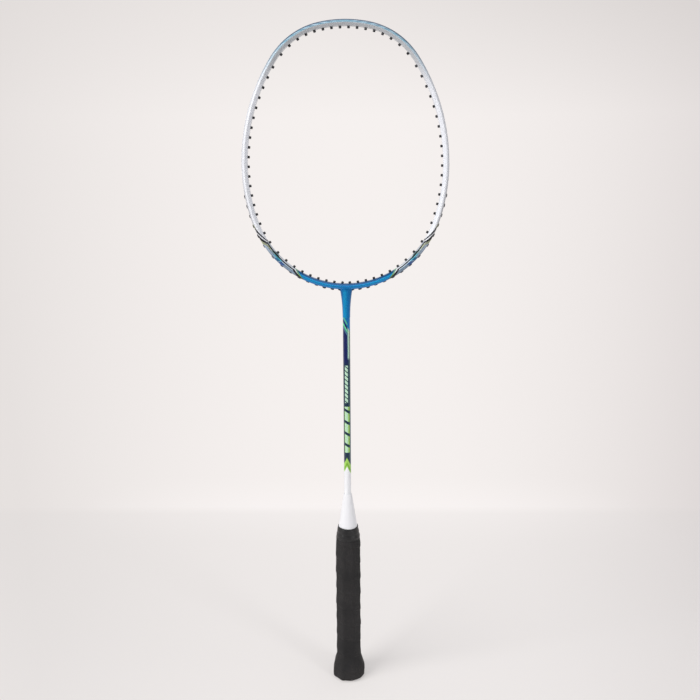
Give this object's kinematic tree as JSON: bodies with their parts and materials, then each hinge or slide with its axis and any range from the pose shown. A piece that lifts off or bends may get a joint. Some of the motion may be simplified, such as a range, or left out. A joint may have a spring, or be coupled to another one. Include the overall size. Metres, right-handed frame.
{
  "type": "badminton racket",
  "caption": "Unstrung badminton racket: hollow painted carbon hoop with nylon grommets, slim shaft, white cone and a wrapped octagonal handle.",
  "frame": {"origin": "middle of the butt's flat bottom face, on the handle's centre line", "axes": "+X across the racket's face to the right, +Y from the front of the face to its back, +Z along the shaft from the butt to the head"},
  "size_m": [0.1958, 0.0322, 0.675],
  "materials": {
    "frame_paint": "gloss lacquer over carbon fibre, pearl white at the top and metallic blue at the throat",
    "moulded_joint": "moulded, unpainted",
    "shaft_paint": "gloss lacquer over carbon fibre, blue above and white below",
    "cone_plastic": "smooth white moulding",
    "handle_wood": "bare machined wood",
    "butt_plastic": "black moulding",
    "cover_plastic": "black moulding",
    "staple_steel": "plated wire",
    "adhesive_film": "double-sided film",
    "grip_leather": "matt black synthetic leather, finely perforated",
    "finishing_film": "black film, slight sheen",
    "grommet_nylon": "moulded nylon"
  },
  "bodies": {
    "root": {"head_frame": "frame_paint", "t_joint": "moulded_joint", "shaft": "shaft_paint", "shaft_plug": "moulded_joint", "cone_cap": "cone_plastic", "handle_core": "handle_wood", "butt_cap": "butt_plastic", "butt_cover": "cover_plastic", "butt_staples": "staple_steel", "adhesive_strip": "adhesive_film", "grip_tape": "grip_leather", "finishing_tape": "finishing_film", "top_grommets": "grommet_nylon", "right_upper_grommets": "grommet_nylon", "left_upper_grommets": "grommet_nylon", "right_lower_grommets": "grommet_nylon", "left_lower_grommets": "grommet_nylon", "right_throat_grommets": "grommet_nylon", "left_throat_grommets": "grommet_nylon", "tie_off_grommets": "grommet_nylon"}
  },
  "joints": []
}
